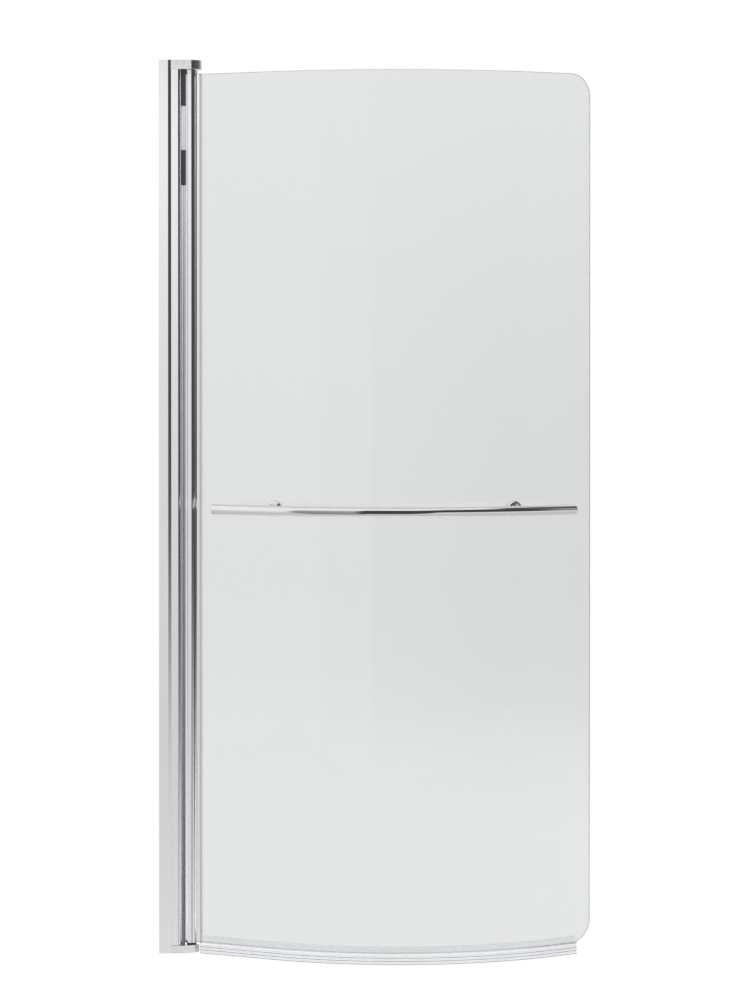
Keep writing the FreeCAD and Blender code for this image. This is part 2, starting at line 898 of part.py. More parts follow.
# ---------------------------------------------------------------- glazing gasket
glazing_gasket = body("glazing_gasket")
leg_in, leg_out = HALF_GLASS + 0.05, SLH - 0.05
sk = sketch(
    glazing_gasket,
    "gasket_section",
    "XY_Plane",
    [
        [
            (SF + 0.7, -leg_in),
            (SF + 0.7, leg_in),
            (JRR + d("gasket_rear_lip"), leg_in),
            (JRR + d("gasket_rear_lip"), 4.4),
            (JRR + 0.1, 4.8),
            (JRR + 0.1, leg_out),
            (SF + 0.1, leg_out),
            (SF + 0.1, -leg_out),
            (JR + 0.1, -leg_out),
            (JR + 0.1, -5.0),
            (JR + d("gasket_lip"), -4.0),
            (JR + d("gasket_lip"), -leg_in),
        ]
    ],
)
pad(glazing_gasket, "gasket_extrusion", sk, d("glass_head") - d("post_foot") - 2.6)
place(glazing_gasket, GLASS_X, GLASS_Y, d("post_foot") + 0.1, -ENTRY)
nodes.append(glazing_gasket)

# ---------------------------------------------------------------- glass
SL, GR = d("straight_len"), d("glass_radius")


def swept(b, name, outline, start, turn_angle):
    """Runs a section (across, up) straight from start to the end of the flat part, then round the arc."""
    sk = sketch(b, name + "_flat", "YZ_Plane", [outline], offset=start)
    pad(b, name + "_run", sk, SL - start)
    sk = sketch(b, name + "_curve", "YZ_Plane", [outline], offset=SL, axis=GR)
    return revolve(b, name + "_bend", sk, "Axis0", turn_angle)


glass_panel = body("glass_panel")
tall_glass = d("glass_head") - d("glass_foot")
swept(
    glass_panel,
    "glass",
    [
        (-HALF_GLASS, 0),
        (HALF_GLASS, 0),
        (HALF_GLASS, tall_glass),
        (-HALF_GLASS, tall_glass),
    ],
    d("glass_start"),
    d("turn_deg"),
)
hole_turns = {
    "left": d("post_mid_deg") - d("post_half_deg"),
    "right": d("post_mid_deg") + d("post_half_deg"),
}
for tag, psi in hole_turns.items():
    drill(
        glass_panel,
        "rail_hole_" + tag,
        d("glass_hole"),
        20,
        (
            SL + (GR - 10) * qsin(psi),
            GR - (GR - 10) * qcos(psi),
            d("rail_z") - d("glass_foot"),
        ),
        turn((0, 0, 1), psi.v) * turn((1, 0, 0), 90),
    )
corner = edges_at(
    glass_panel.Shape,
    lambda e: abs(e.Length - NUM["glass_thick"]) < 0.01 and e.CenterOfMass.x > 300,
)
dress(glass_panel, "Fillet", "rounded_corners", corner, "corner_radius")
place(glass_panel, GLASS_X, GLASS_Y, d("glass_foot"), -ENTRY)
nodes.append(glass_panel)

# ---------------------------------------------------------------- bottom seal
bottom_seal = body("bottom_seal")
GF = d("glass_foot")
web_top = GF - 0.05
web_low = GF - d("seal_web")
grip_top = GF + d("grip_height")
grip_in = HALF_GLASS + 0.05
grip_out = grip_in + d("grip_wall")
ST, FO, FD, FW, FP = d("stem_half"), d("fin_out"), d("fin_drop"), d("fin_wall"), d("fin_pitch")


def fins(side):
    """Corners down one side of the seal below the web: three fins that lean out and down."""
    points = [(side * grip_out, web_low), (side * ST, web_low - 0.9)]
    for k in range(3):
        high = web_low - 2.1 - k * FP
        points += [
            (side * ST, high),
            (side * FO, high - FD),
            (side * (FO - 0.15), high - FD - FW),
            (side * ST, high - FW * 1.5),
        ]
    return points


right_side = fins(1)
left_side = fins(-1)
tip = [(0.45, d("seal_foot")), (-0.45, d("seal_foot"))]
lower = [(-grip_out, web_top), (grip_out, web_top)] + right_side + tip + left_side[::-1]
grip = [
    (-grip_out, grip_top - 0.8),
    (-grip_out + 0.35, grip_top),
    (-grip_in, grip_top - 0.2),
    (-grip_in, web_top),
    (grip_in, web_top),
    (grip_in, grip_top - 0.2),
    (grip_out - 0.35, grip_top),
    (grip_out, grip_top - 0.8),
]
full = grip + right_side + tip + left_side[::-1]
sk = sketch(bottom_seal, "seal_under_post", "YZ_Plane", [lower], offset=d("seal_start"))
pad(bottom_seal, "seal_toe", sk, d("grip_start") - d("seal_start"))
swept(bottom_seal, "seal", full, d("grip_start"), d("seal_turn_deg"))
place(bottom_seal, GLASS_X, GLASS_Y, 0, -ENTRY)
nodes.append(bottom_seal)

# ---------------------------------------------------------------- towel rail
RR = GR + d("rail_standoff")
RZ = d("rail_z")
towel_rail = body("towel_rail")
sk = sketch(
    towel_rail,
    "rail_ring",
    "XZ_Plane",
    [("circle", RR, 0, d("rail_radius")), ("circle", RR, 0, d("rail_bore"))],
)
revolve(towel_rail, "rail_tube", sk, "V_Axis", d("rail_half_deg") * 2)
for tag, psi in hole_turns.items():
    beta = psi - d("rail_mid_deg") + d("rail_half_deg")
    start = RR - d("rail_radius") - 2
    drill(
        towel_rail,
        "insert_hole_" + tag,
        d("insert_hole"),
        6,
        (start * qcos(beta), start * qsin(beta), q(0)),
        turn((0, 0, 1), beta.v) * turn((0, 1, 0), 90),
    )
place(
    towel_rail,
    ARC_X,
    ARC_Y,
    RZ,
    d("rail_mid_deg") - d("rail_half_deg") - ENTRY - 90,
)
nodes.append(towel_rail)

for tag, sign in (("left", -1), ("right", 1)):
    b = body("rail_end_cap_" + tag)
    r = d("rail_radius")
    sk = sketch(
        b,
        "end_cap_section",
        "XY_Plane",
        [
            [
                (-9.0, 0),
                (2.0, 0),
                (2.0, r - 1.3, 0.7, r - 1.3, True),
                (0.7, r),
                (0, r),
                (0, d("rail_bore") - 0.1),
                (-9.0, d("rail_bore") - 0.15),
            ]
        ],
    )
    revolve(b, "end_cap_turned", sk, "H_Axis")
    phi = d("rail_mid_deg") + sign * d("rail_half_deg") - ENTRY
    place(
        b,
        ARC_X + RR * qsin(phi),
        ARC_Y - RR * qcos(phi),
        RZ,
        phi if sign > 0 else phi + 180,
    )
    nodes.append(b)

# ---------------------------------------------------------------- rail fixings, turned about the normal of the glass
# Sections are drawn as (radius, -distance from the middle of the glass), so a point at y = -57 is on the rail's centre line.


def on_glass(b, tag):
    phi = hole_turns[tag] - ENTRY
    place(b, ARC_X + GR * qsin(phi), ARC_Y - GR * qcos(phi), RZ, phi)


def turned(name, tag, corners):
    b = body(name)
    sk = sketch(b, name + "_section", "XY_Plane", [corners])
    revolve(b, name + "_turned", sk, "V_Axis")
    return b


SO = d("rail_standoff")
RP = d("rail_post_radius")
T = HALF_GLASS
made = {"bush": [], "outer": [], "inner": [], "screw": [], "stud": [], "insert": []}
for tag in ("left", "right"):
    post = turned(
        "rail_post_" + tag,
        tag,
        [
            (d("screw_hole"), -(T + 1.1)),
            (RP, -(T + 1.1)),
            (RP, -(SO - 4)),
            (d("stud_hole"), -(SO - 4)),
            (d("stud_hole"), -(SO - 19)),
            (0, -(SO - 19)),
            (0, -(T + 20)),
            (d("screw_hole"), -(T + 20)),
        ],
    )
    drill(
        post,
        "saddle",
        d("rail_radius") + 0.05,
        24,
        (q(-12), -SO, q(0)),
        to_x,
    )
    on_glass(post, tag)
    nodes.append(post)

    crown = d("rose_radius") - d("rose_crown")
    inset = d("rose_crown") - d("rose_throat")
    top_w = T + 1.2 + qsqrt(crown * crown - inset * inset)
    rose = turned(
        "rosette_" + tag,
        tag,
        [
            (RP + 0.05, -(T + 1.3)),
            (12.0, -(T + 1.3)),
            (12.0, -(T + 0.05)),
            (d("rose_radius"), -(T + 0.05)),
            (d("rose_radius"), -(T + 1.2), d("rose_crown"), -(T + 1.2), False),
            (d("rose_throat"), -top_w),
            (RP + 0.05, -top_w + 0.05),
        ],
    )
    on_glass(rose, tag)
    nodes.append(rose)

    cover = turned(
        "inner_cover_" + tag,
        tag,
        [
            (10.2, T + 0.25),
            (d("cover_radius"), T + 0.25),
            (d("cover_radius"), T + 4.0, d("cover_radius") - 3, T + 4.0, True),
            (d("cover_radius") - 3, T + 7.0),
            (0, T + 7.3),
            (0, T + 6.3),
            (d("cover_radius") - 3, T + 6.0),
            (10.2, T + 4.0),
        ],
    )
    on_glass(cover, tag)
    nodes.append(cover)

    part = turned(
        "glass_hole_bush_" + tag,
        tag,
        [(3.1, -T), (d("glass_hole") - 0.1, -T), (d("glass_hole") - 0.1, T), (3.1, T)],
    )
    on_glass(part, tag)
    made["bush"].append(part)
    part = turned(
        "outer_washer_" + tag,
        tag,
        [(3.2, -(T + 1.05)), (11.5, -(T + 1.05)), (11.5, -(T + 0.02)), (3.2, -(T + 0.02))],
    )
    on_glass(part, tag)
    made["outer"].append(part)
    part = turned(
        "inner_washer_" + tag,
        tag,
        [(3.2, T + 0.15), (9.2, T + 0.15), (9.2, T + 1.2), (3.2, T + 1.2)],
    )
    on_glass(part, tag)
    made["inner"].append(part)
    part = turned(
        "glass_fixing_screw_" + tag,
        tag,
        [
            (0, -(T + 18)),
            (d("screw_radius") - 0.6, -(T + 18)),
            (d("screw_radius"), -(T + 17.4)),
            (d("screw_radius"), T + 1.25),
            (5.2, T + 1.25),
            (5.2, T + 3.6),
            (4.2, T + 4.6),
            (0, T + 4.6),
        ],
    )
    hex_socket(part, "socket", 4.0, 2.4, (0, NUM["glass_thick"] / 2 + 4.6, 0), turn((1, 0, 0), 90))
    on_glass(part, tag)
    made["screw"].append(part)
    part = turned(
        "rail_stud_" + tag,
        tag,
        [
            (0, -(SO - 1.5)),
            (d("stud_radius"), -(SO - 1.5)),
            (d("stud_radius"), -(SO - 18.5)),
            (0, -(SO - 18.5)),
        ],
    )
    on_glass(part, tag)
    made["stud"].append(part)
    part = turned(
        "rail_thread_insert_" + tag,
        tag,
        [
            (d("stud_hole"), -(SO - 1.5)),
            (d("insert_outer"), -(SO - 1.5)),
            (d("insert_outer"), -(SO - d("rail_bore") + 0.2)),
            (d("stud_hole"), -(SO - d("rail_bore") + 0.2)),
        ],
    )
    on_glass(part, tag)
    made["insert"].append(part)

nodes.append(group("glass_hole_bushes", made["bush"]))
nodes.append(group("outer_washers", made["outer"]))
nodes.append(group("inner_washers", made["inner"]))
nodes.append(group("glass_fixing_screws", made["screw"]))
nodes.append(group("rail_studs", made["stud"]))
nodes.append(group("rail_thread_inserts", made["insert"]))

# ---------------------------------------------------------------- checks and export
doc.recompute()
bad = [
    "%s %s" % (o.Label, o.State)
    for o in doc.Objects
    if "Invalid" in o.State or "Error" in o.State
]
for o in nodes:
    if o.Shape.isNull() or not o.Shape.isValid() or not o.Shape.Solids:
        bad.append("%s has no valid shape" % o.Label)
    if any(s.Volume <= 0 for s in o.Shape.Solids):
        bad.append("%s has an inside-out solid" % o.Label)
if bad:
    raise RuntimeError("; ".join(bad))
if len({o.Label for o in nodes}) != len(nodes):
    raise RuntimeError("two pieces share a name")

os.makedirs("parts", exist_ok=True)
for o in nodes:
    o.Shape.exportStep(os.path.join("parts", o.Label + ".step"))
    bb = o.Shape.BoundBox
    print(
        "%-22s %d solid(s) %10.1f mm3  x %.1f..%.1f  y %.1f..%.1f  z %.1f..%.1f"
        % (
            o.Label,
            len(o.Shape.Solids),
            o.Shape.Volume,
            bb.XMin,
            bb.XMax,
            bb.YMin,
            bb.YMax,
            bb.ZMin,
            bb.ZMax,
        )
    )
print("%d nodes" % len(nodes))
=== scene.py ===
import json
import math

import bmesh
import bpy
from mathutils import Matrix, Vector


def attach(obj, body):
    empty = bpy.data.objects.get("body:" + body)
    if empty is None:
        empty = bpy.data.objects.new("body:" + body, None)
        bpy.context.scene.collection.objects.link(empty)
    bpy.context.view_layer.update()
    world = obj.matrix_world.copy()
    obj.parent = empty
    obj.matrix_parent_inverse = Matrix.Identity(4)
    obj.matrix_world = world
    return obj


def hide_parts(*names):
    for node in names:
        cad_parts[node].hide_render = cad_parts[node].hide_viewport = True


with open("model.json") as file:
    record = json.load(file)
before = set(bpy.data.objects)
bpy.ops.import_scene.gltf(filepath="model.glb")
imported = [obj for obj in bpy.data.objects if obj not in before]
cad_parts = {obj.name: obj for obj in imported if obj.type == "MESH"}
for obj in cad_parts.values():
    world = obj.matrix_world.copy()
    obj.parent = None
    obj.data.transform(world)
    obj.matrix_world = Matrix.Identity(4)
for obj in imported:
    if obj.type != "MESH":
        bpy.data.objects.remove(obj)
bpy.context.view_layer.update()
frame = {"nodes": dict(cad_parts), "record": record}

NODES = frame["nodes"]
SCENE = bpy.context.scene
MM = 0.001

# ---------------------------------------------------------------- sizes shared with the construction, in millimetres
PIVOT_X = 50.0
ENTRY = math.radians(22.4)
SETBACK = 4.4
GLASS_AT = (PIVOT_X + SETBACK * math.sin(ENTRY), SETBACK * math.cos(ENTRY))
STRAIGHT = 136.8
RADIUS = 515.0
TURN = math.radians(58.2)
ARC = (
    GLASS_AT[0] + STRAIGHT * math.cos(ENTRY) + RADIUS * math.sin(ENTRY),
    GLASS_AT[1] + RADIUS * math.cos(ENTRY) - STRAIGHT * math.sin(ENTRY),
)
GLASS_FOOT, GLASS_HEAD = 15.4, 1379.0
GLASS_START = 9.4
GLASS_END = STRAIGHT + RADIUS * TURN
CORNER = 36.0
RAIL_Z = 700.0
HOLES = (math.radians(0.62) - ENTRY, math.radians(42.68) - ENTRY)


def on_screen(s, v, z):
    """A point s along the middle of the glass from the pivot, v towards the bath and z up, in metres."""
    if s <= STRAIGHT:
        x = GLASS_AT[0] + s * math.cos(ENTRY) + v * math.sin(ENTRY)
        y = GLASS_AT[1] - s * math.sin(ENTRY) + v * math.cos(ENTRY)
    else:
        phi = (s - STRAIGHT) / RADIUS - ENTRY
        x = ARC[0] + (RADIUS - v) * math.sin(phi)
        y = ARC[1] - (RADIUS - v) * math.cos(phi)
    return Vector((x * MM, y * MM, z * MM))


# ---------------------------------------------------------------- node graphs
class Graph:
    """Builds a node tree from short calls. Values may be numbers or sockets."""

    def __init__(self, tree):
        self.tree = tree
        tree.nodes.clear()

    def node(self, kind, inputs=None, **props):
        n = self.tree.nodes.new(kind)
        for k, value in props.items():
            setattr(n, k, value)
        for k, value in (inputs or {}).items():
            self.put(value, n.inputs[k])
        return n

    def put(self, value, socket):
        if isinstance(value, bpy.types.NodeSocket):
            self.tree.links.new(value, socket)
        else:
            socket.default_value = value

    def math(self, op, a, b=0.0, c=0.0, clamp=False):
        n = self.tree.nodes.new("ShaderNodeMath")
        n.operation = op
        n.use_clamp = clamp
        for socket, value in zip(n.inputs, (a, b, c)):
            self.put(value, socket)
        return n.outputs[0]

    def add(self, a, b):
        return self.math("ADD", a, b)

    def sub(self, a, b):
        return self.math("SUBTRACT", a, b)

    def mul(self, a, b):
        return self.math("MULTIPLY", a, b)

    def lerp(self, t, a, b):
        return self.add(a, self.mul(t, self.sub(b, a)))

    def soft(self, value, low, high):
        """0 below low, 1 above high, smooth between."""
        n = self.node("ShaderNodeMapRange", interpolation_type="SMOOTHSTEP")
        self.put(value, n.inputs["Value"])
        self.put(low, n.inputs["From Min"])
        self.put(high, n.inputs["From Max"])
        return n.outputs["Result"]

    def span(self, value, low, high, to_low, to_high):
        n = self.node("ShaderNodeMapRange")
        self.put(value, n.inputs["Value"])
        n.inputs["From Min"].default_value = low
        n.inputs["From Max"].default_value = high
        n.inputs["To Min"].default_value = to_low
        n.inputs["To Max"].default_value = to_high
        return n.outputs["Result"]

    def curve(self, value, points, scale=1.0, smooth=True):
        """A number that follows points [(x, y), ...]; y is stored divided by scale."""
        low, high = points[0][0], points[-1][0]
        t = self.span(value, low, high, 0.0, 1.0)
        n = self.node("ShaderNodeValToRGB")
        n.color_ramp.interpolation = "EASE" if smooth else "LINEAR"
        stops = n.color_ramp.elements
        while len(stops) > 1:
            stops.remove(stops[-1])
        for i, (x, y) in enumerate(points):
            at = (x - low) / (high - low)
            e = stops[0] if i == 0 else stops.new(at)
            e.position = at
            g = y / scale
            e.color = (g, g, g, 1.0)
        self.put(t, n.inputs["Fac"])
        out = n.outputs["Color"]
        return self.mul(out, scale) if scale != 1.0 else self.mul(out, 1.0)

    def ramp(self, value, stops, interpolation="LINEAR"):
        n = self.node("ShaderNodeValToRGB")
        n.color_ramp.interpolation = interpolation
        have = n.color_ramp.elements
        while len(have) > 1:
            have.remove(have[-1])
        for i, (at, colour) in enumerate(stops):
            e = have[0] if i == 0 else have.new(at)
            e.position = at
            e.color = (*colour, 1.0)
        self.put(value, n.inputs["Fac"])
        return n.outputs["Color"]

    def noise(self, vector, scale, detail=2.0, rough=0.5, distortion=0.0):
        n = self.node("ShaderNodeTexNoise")
        self.put(vector, n.inputs["Vector"])
        n.inputs["Scale"].default_value = scale
        n.inputs["Detail"].default_value = detail
        n.inputs["Roughness"].default_value = rough
        n.inputs["Distortion"].default_value = distortion
        return n.outputs["Fac"]

    def stretched(self, scale):
        """Object coordinates, in metres, times scale on each axis."""
        coords = self.node("ShaderNodeTexCoord").outputs["Object"]
        n = self.node("ShaderNodeMapping")
        self.put(coords, n.inputs["Vector"])
        n.inputs["Scale"].default_value = scale
        return n.outputs["Vector"]

    def bump(self, height, strength, distance):
        n = self.node("ShaderNodeBump")
        self.put(height, n.inputs["Height"])
        n.inputs["Strength"].default_value = strength
        n.inputs["Distance"].default_value = distance
        return n.outputs["Normal"]


def material(name):
    mat = bpy.data.materials.new(name)
    mat.use_nodes = True
    g = Graph(mat.node_tree)
    out = g.node("ShaderNodeOutputMaterial")
    bsdf = g.node("ShaderNodeBsdfPrincipled")
    g.tree.links.new(bsdf.outputs[0], out.inputs["Surface"])
    return mat, g, bsdf, out


# ---------------------------------------------------------------- studio light
def studio(g, vector):
    """How bright the studio is in a direction, as the metal sees it: a light room, a floor that throws light back, and a dark opening in front and to the right."""
    sep = g.node("ShaderNodeSeparateXYZ")
    g.put(vector, sep.inputs[0])
    x, y, z = sep.outputs
    azimuth = g.mul(g.math("ARCTAN2", x, g.mul(y, -1.0)), 180 / math.pi)
    height = g.mul(g.math("ARCSINE", g.math("MINIMUM", g.math("MAXIMUM", z, -1.0), 1.0)), 180 / math.pi)
    light = g.curve(
        height,
        [(-90, 0.62), (-40, 0.63), (-30, 0.64), (-14, 0.80), (-12, 0.785), (-9.5, 0.70), (-6.5, 0.69), (-3.4, 0.73), (0.5, 0.77), (3.8, 0.885), (5, 0.96), (25, 0.97), (45, 1.0), (62, 0.90), (90, 0.86)],
        smooth=False,
    )
    wide = g.curve(
        azimuth,
        [(-180, 0.0), (-37, 0.0), (-34, 0.66), (-14, 0.62), (-12, 1.0), (50, 1.0), (54, 0.80), (61, 0.64), (66, 0.92), (76, 0.96), (103, 0.86), (118, 0.45), (130, 0.1), (140, 0.0), (180, 0.0)],
        smooth=False,
    )
    low = g.curve(
        azimuth,
        [(-180, 48), (-37, 48), (-35, 42), (-13, 42), (-11.5, 54), (5, 54), (8, 60), (13, 76), (18, 82.5), (30, 84), (60, 79), (100, 79), (180, 80)],
        scale=90.0,
        smooth=False,
    )
    high = g.curve(
        azimuth,
        [(-180, 104), (-36, 108), (-33, 118), (-13, 118), (-11.5, 128), (8, 128), (20, 140), (45, 143), (55, 151), (65, 159), (75, 161), (180, 150)],
        scale=180.0,
        smooth=False,
    )
    e = g.add(height, 90.0)
    above = g.soft(g.sub(e, low), -3.0, 3.0)
    below = g.sub(1.0, g.soft(g.sub(e, high), -5.0, 5.0))
    # the opening stays dark near its top where its right side pales
    top = g.mul(g.soft(height, 26.0, 40.0), g.mul(g.soft(azimuth, 48.0, 54.0), g.sub(1.0, g.soft(azimuth, 64.0, 72.0))))
    wide = g.lerp(top, wide, 0.95)
    # and at the heights that upright faces mirror, where it also reaches further round
    level = g.mul(g.soft(height, -16.0, -12.0), g.sub(1.0, g.soft(height, 5.0, 9.0)))
    band = g.curve(
        azimuth,
        [(-180, 0.0), (-37, 0.0), (-34, 0.66), (-14, 0.62), (-12, 1.0), (50, 1.0), (76, 0.97), (103, 0.88), (125, 0.62), (148, 0.42), (160, 0.0), (180, 0.0)],
        smooth=False,
    )
    wide = g.lerp(level, wide, band)
    mask = g.mul(wide, g.mul(above, below))
    return azimuth, height, light, mask


DARK = 0.062

world = bpy.data.worlds.new("studio")
SCENE.world = world
world.use_nodes = True
world.cycles.sampling_method = "NONE"
g = Graph(world.node_tree)
coords = g.node("ShaderNodeTexCoord").outputs["Generated"]
azimuth, height, light, mask = studio(g, coords)
metal_sees = g.lerp(mask, light, DARK)
# the clear sheet mirrors a softer room: lightest on the left and towards the floor
rise = g.curve(
    height,
    [(-30, 1.60), (-9.4, 1.72), (-8.2, 1.42), (-7.3, 1.17), (-6.4, 0.93), (-5, 0.84), (-3, 0.93), (-1.5, 1.03), (0.5, 1.17), (2.5, 1.28), (5, 1.43), (9, 1.43), (14, 0.80), (30, 0.75)],
    smooth=False,
)
aside = g.curve(
    azimuth,
    [(-90, 0.0), (-28.3, 0.0), (-27.2, 0.22), (-9.9, 0.22), (-8.6, 0.46), (5, 0.52), (30, 0.72), (46, 0.80), (49, 0.74), (90, 0.78)],
    smooth=False,
)
hold = g.curve(
    height,
    [(-20, 0.0), (-9.6, 0.02), (-8.4, 0.55), (-7.4, 1.0), (-5, 1.0), (-2, 0.98), (0.5, 0.85), (2.4, 0.55), (3.4, 0.42), (5, 0.25), (20, 0.2)],
    smooth=False,
)
glass_sees = g.sub(rise, g.mul(aside, hold))
path = g.node("ShaderNodeLightPath").outputs
mirrored = g.mul(g.math("GREATER_THAN", path["Glossy Depth"], 0.5), g.sub(1.0, path["Is Diffuse Ray"]))
# the sheet mirrors from -48.3 to 75.8 degrees in this view; past that, on both sides, the metal's room takes over, which closes behind
by_glass = g.mul(path["Is Singular Ray"], g.mul(g.soft(azimuth, -110.0, -70.0), g.sub(1.0, g.soft(azimuth, 77.0, 83.0))))
seen = g.lerp(by_glass, metal_sees, glass_sees)
value = g.lerp(mirrored, 1.0, seen)
background = g.node("ShaderNodeBackground", {"Strength": 1.0})
colour = g.node("ShaderNodeCombineColor")
for socket in colour.inputs:
    g.put(value, socket)
g.put(colour.outputs[0], background.inputs["Color"])
out = g.node("ShaderNodeOutputWorld")
g.tree.links.new(background.outputs[0], out.inputs["Surface"])


def plain_mesh(name, verts, faces):
    mesh = bpy.data.meshes.new(name)
    mesh.from_pydata(verts, [], faces)
    mesh.update()
    obj = bpy.data.objects.new(name, mesh)
    SCENE.collection.objects.link(obj)
    return obj


# a large softbox in front of the wall side, which lights only the aluminium and the caps
FAR = 30.0
left, right = FAR * math.tan(math.radians(-37)), FAR * math.tan(math.radians(3.5))
foot, head = FAR * math.tan(math.radians(-16)), FAR * math.tan(math.radians(9))
softbox = plain_mesh(
    "softbox",
    [(left, -FAR, foot), (right, -FAR, foot), (right, -FAR, head), (left, -FAR, head)],
    [(0, 1, 2, 3)],
)
mat = bpy.data.materials.new("softbox_light")
mat.use_nodes = True
g = Graph(mat.node_tree)
place = g.node("ShaderNodeNewGeometry").outputs["Position"]
unit = g.node("ShaderNodeVectorMath", operation="NORMALIZE")
g.put(place, unit.inputs[0])
azimuth, height, light, mask = studio(g, unit.outputs[0])
edge = g.soft(azimuth, -37.0, -34.0)
glow = g.mul(g.mul(mask, g.sub(light, DARK)), edge)
emission = g.node("ShaderNodeEmission", {"Strength": glow})
clear = g.node("ShaderNodeBsdfTransparent")
both = g.node("ShaderNodeAddShader")
g.tree.links.new(emission.outputs[0], both.inputs[0])
g.tree.links.new(clear.outputs[0], both.inputs[1])
out = g.node("ShaderNodeOutputMaterial")
g.tree.links.new(both.outputs[0], out.inputs["Surface"])
mat.cycles.emission_sampling = "NONE"
softbox.data.materials.append(mat)
softbox.visible_camera = False
softbox.visible_diffuse = False
softbox.visible_transmission = False
softbox.visible_volume_scatter = False
softbox.visible_shadow = False
lit = bpy.data.collections.new("softbox_lights")
softbox.light_linking.receiver_collection = lit

# light that bounces about in the gap, close round the wall side of the post; it lights only the post
points, faces = [], []
steps = 24
for k in range(steps + 1):
    a = math.radians(222.0 - 97.0 * k / steps)
    for z in (18.0, 1378.0):
        points.append(((PIVOT_X + 10.16 * math.cos(-a)) * MM, 10.16 * math.sin(-a) * MM, z * MM))
for k in range(steps):
    i = 2 * k
    faces.append((i, i + 2, i + 3, i + 1))
gap_light = plain_mesh("gap_light", points, faces)
mat = bpy.data.materials.new("gap_glow")
mat.use_nodes = True
g = Graph(mat.node_tree)
sep = g.node("ShaderNodeSeparateXYZ")
g.put(g.node("ShaderNodeNewGeometry").outputs["Position"], sep.inputs[0])
glow = g.curve(
    sep.outputs[2],
    [(0.0, 0.33), (0.35, 0.31), (0.70, 0.30), (1.0, 0.30), (1.2, 0.31), (1.4, 0.33)],
    smooth=False,
)
emission = g.node("ShaderNodeEmission", {"Strength": glow})
clear = g.node("ShaderNodeBsdfTransparent")
both = g.node("ShaderNodeAddShader")
g.tree.links.new(emission.outputs[0], both.inputs[0])
g.tree.links.new(clear.outputs[0], both.inputs[1])
out = g.node("ShaderNodeOutputMaterial")
g.tree.links.new(both.outputs[0], out.inputs["Surface"])
mat.cycles.emission_sampling = "NONE"
gap_light.data.materials.append(mat)
gap_light.visible_camera = False
gap_light.visible_diffuse = False
gap_light.visible_transmission = False
gap_light.visible_volume_scatter = False
gap_light.visible_shadow = False
post_only = bpy.data.collections.new("gap_light_lights")
gap_light.light_linking.receiver_collection = post_only

# pale plain floor, below the foot of the screen by the height of a bath rim
FLOOR_Z = -0.56
floor = plain_mesh(
    "studio_floor",
    [(-4.5, -5.5, FLOOR_Z), (5.5, -5.5, FLOOR_Z), (5.5, 2.3, FLOOR_Z), (-4.5, 2.3, FLOOR_Z)],
    [(0, 1, 2, 3)],
)
mat, g, bsdf, out = material("pale_floor")
vector = g.stretched((1, 1, 1))
tone = g.noise(vector, 1.7, 2.0)
g.put(g.ramp(tone, [(0.3, (0.72, 0.72, 0.72)), (0.7, (0.73, 0.73, 0.73))]), bsdf.inputs["Base Color"])
bsdf.inputs["Roughness"].default_value = 1.0
bsdf.inputs["Specular IOR Level"].default_value = 0.0
bsdf.inputs["Emission Color"].default_value = (1, 1, 1, 1)
bsdf.inputs["Emission Strength"].default_value = 0.30
floor.data.materials.append(mat)
floor.visible_glossy = False


# ---------------------------------------------------------------- finishes
def brushed(name, light, dark, rough, bump=0.02, base_scale=(420, 420, 1.1), fine=(2600, 2600, 9.0)):
    """Bright metal drawn along Z: long fine lines in its tone, its gloss and its surface."""
    mat, g, bsdf, out = material(name)
    lines = g.noise(g.stretched(base_scale), 1.0, 3.0, 0.55)
    hair = g.noise(g.stretched(fine), 1.0, 2.0, 0.6)
    both = g.lerp(0.45, lines, hair)
    g.put(g.ramp(both, [(0.25, dark), (0.75, light)]), bsdf.inputs["Base Color"])
    g.put(g.span(both, 0.3, 0.7, rough[0], rough[1]), bsdf.inputs["Roughness"])
    g.put(g.bump(lines, bump, 0.00012), bsdf.inputs["Normal"])
    bsdf.inputs["Metallic"].default_value = 1.0
    return mat


def plated(name, light, dark, rough, bump=0.01, scale=90.0, spots=900.0):
    """Polished or satin plating: cloudy gloss, a trace of orange peel, and fine specks."""
    mat, g, bsdf, out = material(name)
    vector = g.stretched((1, 1, 1))
    cloud = g.noise(vector, scale, 3.0, 0.5)
    speck = g.noise(vector, spots, 2.0, 0.6)
    g.put(g.ramp(cloud, [(0.3, dark), (0.7, light)]), bsdf.inputs["Base Color"])
    g.put(g.span(g.lerp(0.4, cloud, speck), 0.35, 0.65, rough[0], rough[1]), bsdf.inputs["Roughness"])
    g.put(g.bump(cloud, bump, 0.0002), bsdf.inputs["Normal"])
    bsdf.inputs["Metallic"].default_value = 1.0
    return mat


ALUMINIUM = brushed("bright_aluminium", (0.925, 0.925, 0.94), (0.885, 0.886, 0.902), (0.07, 0.12))
CHROME = plated("polished_chrome", (0.84, 0.842, 0.825), (0.815, 0.817, 0.80), (0.03, 0.055))
CAP_CHROME = plated("satin_cap_chrome", (0.94, 0.94, 0.952), (0.905, 0.906, 0.92), (0.10, 0.17), bump=0.02, scale=240.0)
PLUG = plated("plated_plug", (0.86, 0.862, 0.875), (0.82, 0.822, 0.836), (0.08, 0.14), scale=300.0)
STEEL = plated("stainless_steel", (0.70, 0.69, 0.675), (0.60, 0.592, 0.58), (0.16, 0.28), bump=0.04, scale=500.0, spots=2600.0)


